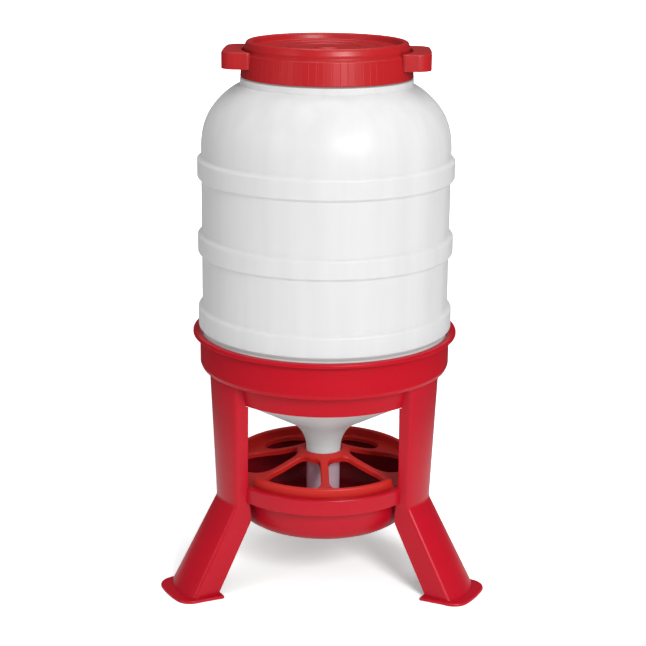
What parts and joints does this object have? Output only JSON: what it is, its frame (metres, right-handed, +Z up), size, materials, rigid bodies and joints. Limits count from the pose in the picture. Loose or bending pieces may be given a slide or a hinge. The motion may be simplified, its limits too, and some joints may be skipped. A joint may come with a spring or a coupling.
{
  "type": "gravity poultry feeder",
  "caption": "Gravity feeder for poultry: a white drum hopper with a red screw lid on a tripod stand pours through a spout into a round pan under a feeding grill.",
  "frame": {"origin": "on the floor, on the feeder's vertical axis, in the plane of the three soles", "axes": "+Z up; the front is -Y, between the two front legs; +X to the right seen from the front"},
  "size_m": [0.4926, 0.4684, 0.8172],
  "materials": {
    "drum_white": "satin blow-moulded polyethylene, slightly translucent",
    "sleeve_natural": "natural polyethylene",
    "lid_red": "semi-gloss moulded",
    "seal_rubber": "matt",
    "stand_red": "semi-gloss moulded",
    "grill_orange": "semi-gloss moulded"
  },
  "bodies": {
    "stand": {"support_basket": "stand_red", "leg_front_left": "stand_red", "leg_front_right": "stand_red", "leg_back": "stand_red", "feed_pan": "stand_red"},
    "hopper": {"hopper_drum": "drum_white"},
    "regulator": {"flow_regulator": "sleeve_natural"},
    "seal": {"lid_seal": "seal_rubber"},
    "lid": {"lid": "lid_red"},
    "grill": {"feed_grill": "grill_orange"}
  },
  "joints": [
    {"name": "hopper_lift", "type": "slide", "parent": "stand", "child": "hopper", "axis": [0, 0, 1], "range_m": [0, 0.3]},
    {"name": "regulator_slide", "type": "slide", "parent": "hopper", "child": "regulator", "axis": [0, 0, 1], "range_m": [-0.009, 0.008]},
    {"name": "lid_rise", "type": "slide", "parent": "hopper", "child": "seal", "axis": [0, 0, 1], "range_m": [0, 0.0121]},
    {"name": "lid_turn", "type": "hinge", "parent": "seal", "child": "lid", "pos_m": [0, 0, 0.79], "axis": [0, 0, 1], "range_deg": [0, 540]},
    {"name": "grill_lift", "type": "slide", "parent": "stand", "child": "grill", "axis": [0, 0, 1], "range_m": [0, 0.013]}
  ],
  "couplings": [
    {"joint": "lid_rise", "follows": "lid_turn", "m_per_rad": 0.0012732}
  ]
}
